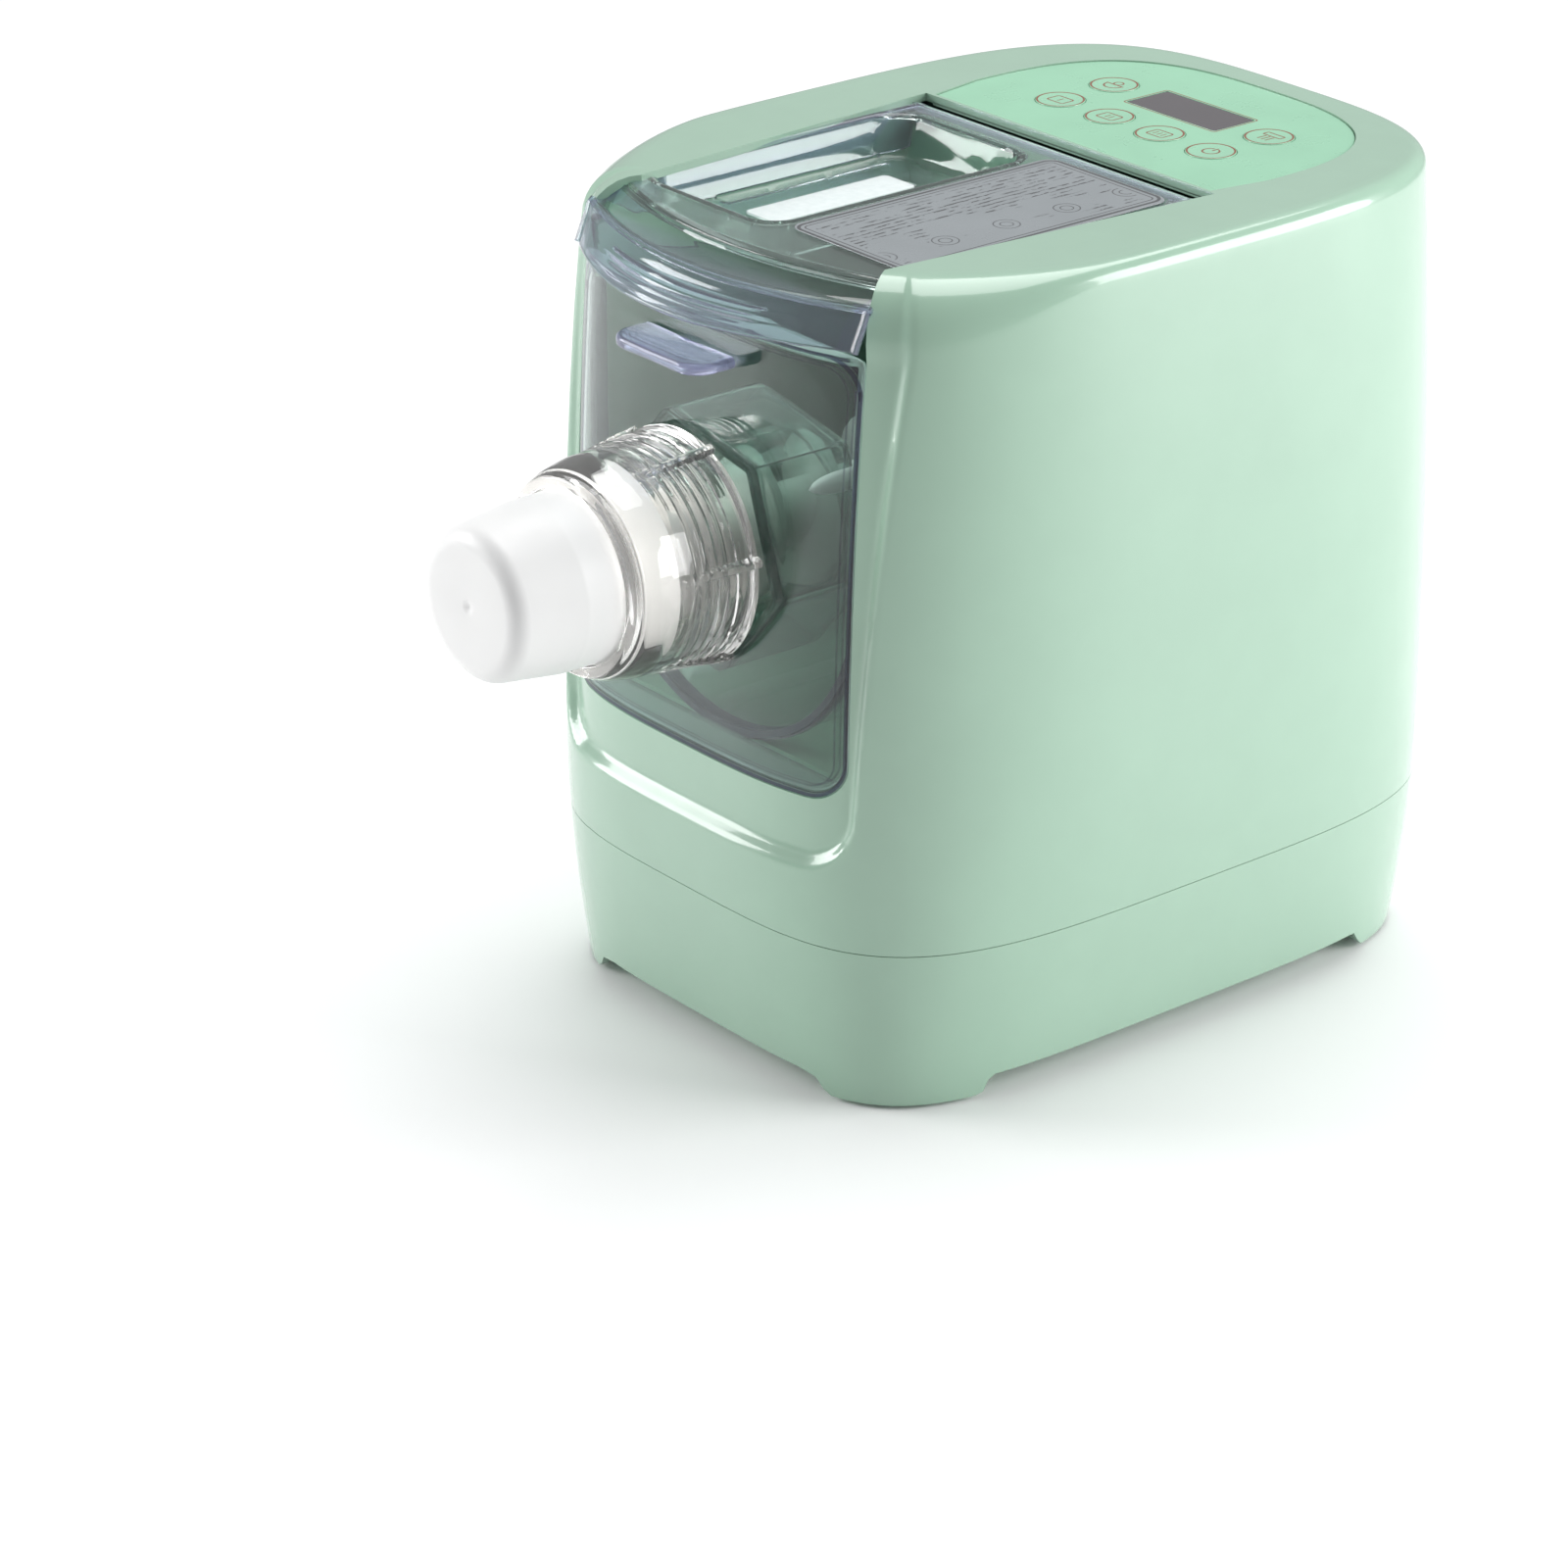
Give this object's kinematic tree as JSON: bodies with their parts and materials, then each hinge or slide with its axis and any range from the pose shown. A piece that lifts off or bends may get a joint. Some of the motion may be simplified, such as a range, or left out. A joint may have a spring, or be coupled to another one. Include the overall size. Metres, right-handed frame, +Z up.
{
  "type": "electric pasta maker",
  "caption": "Countertop pasta maker: loaf-shaped housing, see-through mixing cup and lid, extruding nozzle with a locking collar, touch panel on top.",
  "frame": {"origin": "on the table, under the middle of the overall length, nozzle included", "axes": "+Z up, the nozzle points along -Y, +X is to the right seen from the front, looking along +Y"},
  "size_m": [0.222, 0.367, 0.285],
  "materials": {
    "housing_plastic": "glossy moulded plastic",
    "smoke_plastic": "clear grey polycarbonate",
    "clear_plastic": "clear polycarbonate",
    "white_plastic": "satin white acetal",
    "grey_plastic": "matt grey plastic",
    "film": "satin printed film",
    "display_plastic": "dark clear window",
    "black_plastic": "matt black plastic",
    "circuit_board": "green circuit board with its components",
    "label_plastic": "clear printed plate",
    "soft_rubber": "matt rubber",
    "machined_steel": "turned steel",
    "winding_copper": "enamelled copper wire"
  },
  "bodies": {
    "housing": {"upper_housing": "housing_plastic", "base_shell": "housing_plastic", "rubber_feet": "soft_rubber", "housing_screws": "machined_steel", "bay_liner": "grey_plastic", "hinge_pins": "machined_steel", "lid_switch": "black_plastic", "control_film": "film", "display_window": "display_plastic", "panel_board": "circuit_board", "panel_screws": "machined_steel", "front_bearing": "machined_steel", "rear_bearing": "machined_steel", "idler_axle": "machined_steel", "gearbox_cover": "grey_plastic", "gearbox_case": "grey_plastic", "gearbox_bolts": "machined_steel", "motor_windings": "winding_copper", "motor_can": "machined_steel", "motor_cradle": "soft_rubber", "power_board": "circuit_board", "power_inlet": "black_plastic", "inlet_screws": "machined_steel"},
    "lid": {"lid": "smoke_plastic", "lid_plate": "label_plastic"},
    "cup": {"mixing_cup": "smoke_plastic", "shaft_seal": "soft_rubber"},
    "cover": {"front_cover": "smoke_plastic", "cover_gasket": "soft_rubber", "extruder_barrel": "clear_plastic"},
    "nozzle": {"nozzle_cap": "white_plastic"},
    "collar": {"lock_collar": "clear_plastic"},
    "auger": {"auger": "white_plastic", "mixing_paddle": "white_plastic"},
    "drive": {"drive_shaft": "machined_steel", "output_gear": "white_plastic"},
    "idler": {"idler_gears": "white_plastic"},
    "rotor": {"motor_pinion": "machined_steel", "motor_rotor": "machined_steel", "cooling_fan": "white_plastic"},
    "one_cup_key": {"one_cup_key": "film"},
    "two_cup_key": {"two_cup_key": "film"},
    "three_cup_key": {"three_cup_key": "film"},
    "power_key": {"power_key": "film"},
    "knead_key": {"knead_key": "film"},
    "extrude_key": {"extrude_key": "film"}
  },
  "joints": [
    {"name": "lid_open", "type": "hinge", "parent": "housing", "child": "lid", "pos_m": [0, 0.06121, 0.2775], "axis": [-1, 0, 0], "range_deg": [0, 90]},
    {"name": "cup_slide", "type": "slide", "parent": "housing", "child": "cup", "axis": [0, -1, 0], "range_m": [0, 0.15]},
    {"name": "cover_pull", "type": "slide", "parent": "cup", "child": "cover", "axis": [0, -1, 0], "range_m": [0, 0.06]},
    {"name": "nozzle_pull", "type": "slide", "parent": "cover", "child": "nozzle", "axis": [0, -1, 0], "range_m": [0, 0.045]},
    {"name": "collar_turn", "type": "hinge", "parent": "nozzle", "child": "collar", "pos_m": [0, -0.12, 0.182], "axis": [0, 1, 0], "range_deg": [0, 90]},
    {"name": "motor_spin", "type": "hinge", "parent": "housing", "child": "rotor", "pos_m": [0, 0.12, 0.0823], "axis": [0, 1, 0], "continuous": true},
    {"name": "idler_spin", "type": "hinge", "parent": "housing", "child": "idler", "pos_m": [0, 0.09, 0.1249], "axis": [0, 1, 0], "continuous": true},
    {"name": "drive_spin", "type": "hinge", "parent": "housing", "child": "drive", "pos_m": [0, 0.08, 0.182], "axis": [0, 1, 0], "continuous": true},
    {"name": "auger_spin", "type": "hinge", "parent": "cup", "child": "auger", "pos_m": [0, 0.04, 0.182], "axis": [0, 1, 0], "continuous": true},
    {"name": "one_cup_press", "type": "slide", "parent": "housing", "child": "one_cup_key", "axis": [0, 0, -1], "range_m": [0, 0.0004], "stiffness_N_per_m": 1500},
    {"name": "two_cup_press", "type": "slide", "parent": "housing", "child": "two_cup_key", "axis": [0, 0, -1], "range_m": [0, 0.0004], "stiffness_N_per_m": 1500},
    {"name": "three_cup_press", "type": "slide", "parent": "housing", "child": "three_cup_key", "axis": [0, 0, -1], "range_m": [0, 0.0004], "stiffness_N_per_m": 1500},
    {"name": "power_press", "type": "slide", "parent": "housing", "child": "power_key", "axis": [0, 0, -1], "range_m": [0, 0.0004], "stiffness_N_per_m": 1500},
    {"name": "knead_press", "type": "slide", "parent": "housing", "child": "knead_key", "axis": [0, 0, -1], "range_m": [0, 0.0004], "stiffness_N_per_m": 1500},
    {"name": "extrude_press", "type": "slide", "parent": "housing", "child": "extrude_key", "axis": [0, 0, -1], "range_m": [0, 0.0004], "stiffness_N_per_m": 1500}
  ],
  "couplings": [
    {"joint": "idler_spin", "follows": "motor_spin", "ratio": -0.21429},
    {"joint": "drive_spin", "follows": "motor_spin", "ratio": 0.048387},
    {"joint": "auger_spin", "follows": "motor_spin", "ratio": 0.048387}
  ]
}
